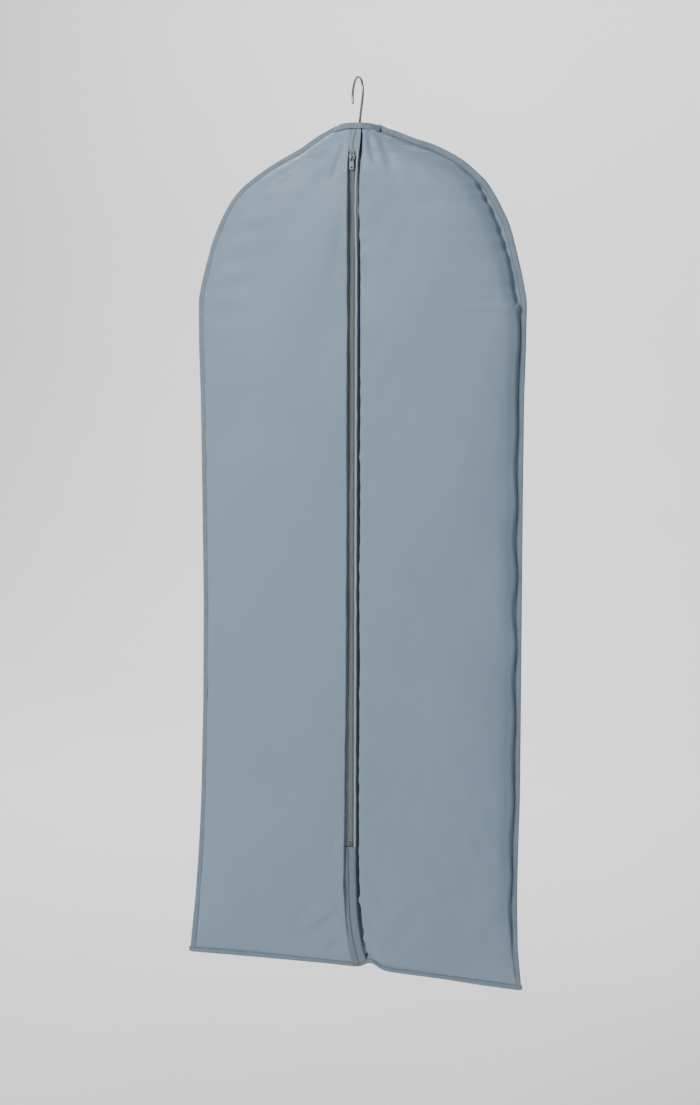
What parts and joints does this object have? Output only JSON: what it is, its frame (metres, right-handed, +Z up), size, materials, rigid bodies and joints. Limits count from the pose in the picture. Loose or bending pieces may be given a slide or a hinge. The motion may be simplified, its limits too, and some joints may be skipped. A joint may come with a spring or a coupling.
{
  "type": "garment bag on hanger",
  "caption": "Long hanging garment bag with shaped shoulders, a full-length front zip in a pleat, bound edges and a hanger with a swivel hook.",
  "frame": {"origin": "the point inside the hook's bend that rests on top of a rail", "axes": "+Z up, -Y out of the zipped front, +X to the right seen from the front"},
  "size_m": [0.574, 0.066, 1.4448],
  "materials": {
    "bag_fabric": "smooth blue-grey coated fabric with a faint sheen",
    "binding_tape": "folded blue-grey binding tape, finely ribbed",
    "zip_tape": "woven grey zip tape",
    "zip_coil": "grey nylon coil",
    "zip_metal": "cast metal, satin grey",
    "hook_steel": "polished steel wire",
    "hanger_metal": "satin metal ferrule",
    "hanger_plastic": "off-white moulded plastic"
  },
  "bodies": {
    "hook": {"hook_wire": "hook_steel", "swivel_nut": "hook_steel"},
    "bag": {"hanger_collar": "hanger_metal", "hanger_body": "hanger_plastic", "back_panel": "bag_fabric", "front_panel_left": "bag_fabric", "front_panel_right": "bag_fabric", "pleat_right": "bag_fabric", "placket_strip": "bag_fabric", "neck_strip": "bag_fabric", "hem_strip": "bag_fabric", "neck_binding": "binding_tape", "binding_left": "binding_tape", "binding_right": "binding_tape", "hem_binding": "binding_tape", "zip_tape_left": "zip_tape", "zip_tape_right": "zip_tape", "zip_coil_left": "zip_coil", "zip_coil_right": "zip_coil", "zip_top_stops": "zip_metal", "zip_bottom_stop": "zip_metal"},
    "slider": {"slider_body": "zip_metal", "slider_bridge": "zip_metal"},
    "tab": {"pull_tab": "zip_metal"}
  },
  "joints": [
    {"name": "hook_swivel", "type": "hinge", "parent": "hook", "child": "bag", "pos_m": [0, 0, -0.11], "axis": [0, 0, 1], "continuous": true},
    {"name": "zip_slide", "type": "slide", "parent": "bag", "child": "slider", "axis": [0.0047, 0, -1], "range_m": [0, 1.085]},
    {"name": "tab_swing", "type": "hinge", "parent": "slider", "child": "tab", "pos_m": [0.00027, -0.0314, -0.1274], "axis": [-1, 0, -0.0047], "range_deg": [0, 170]}
  ]
}
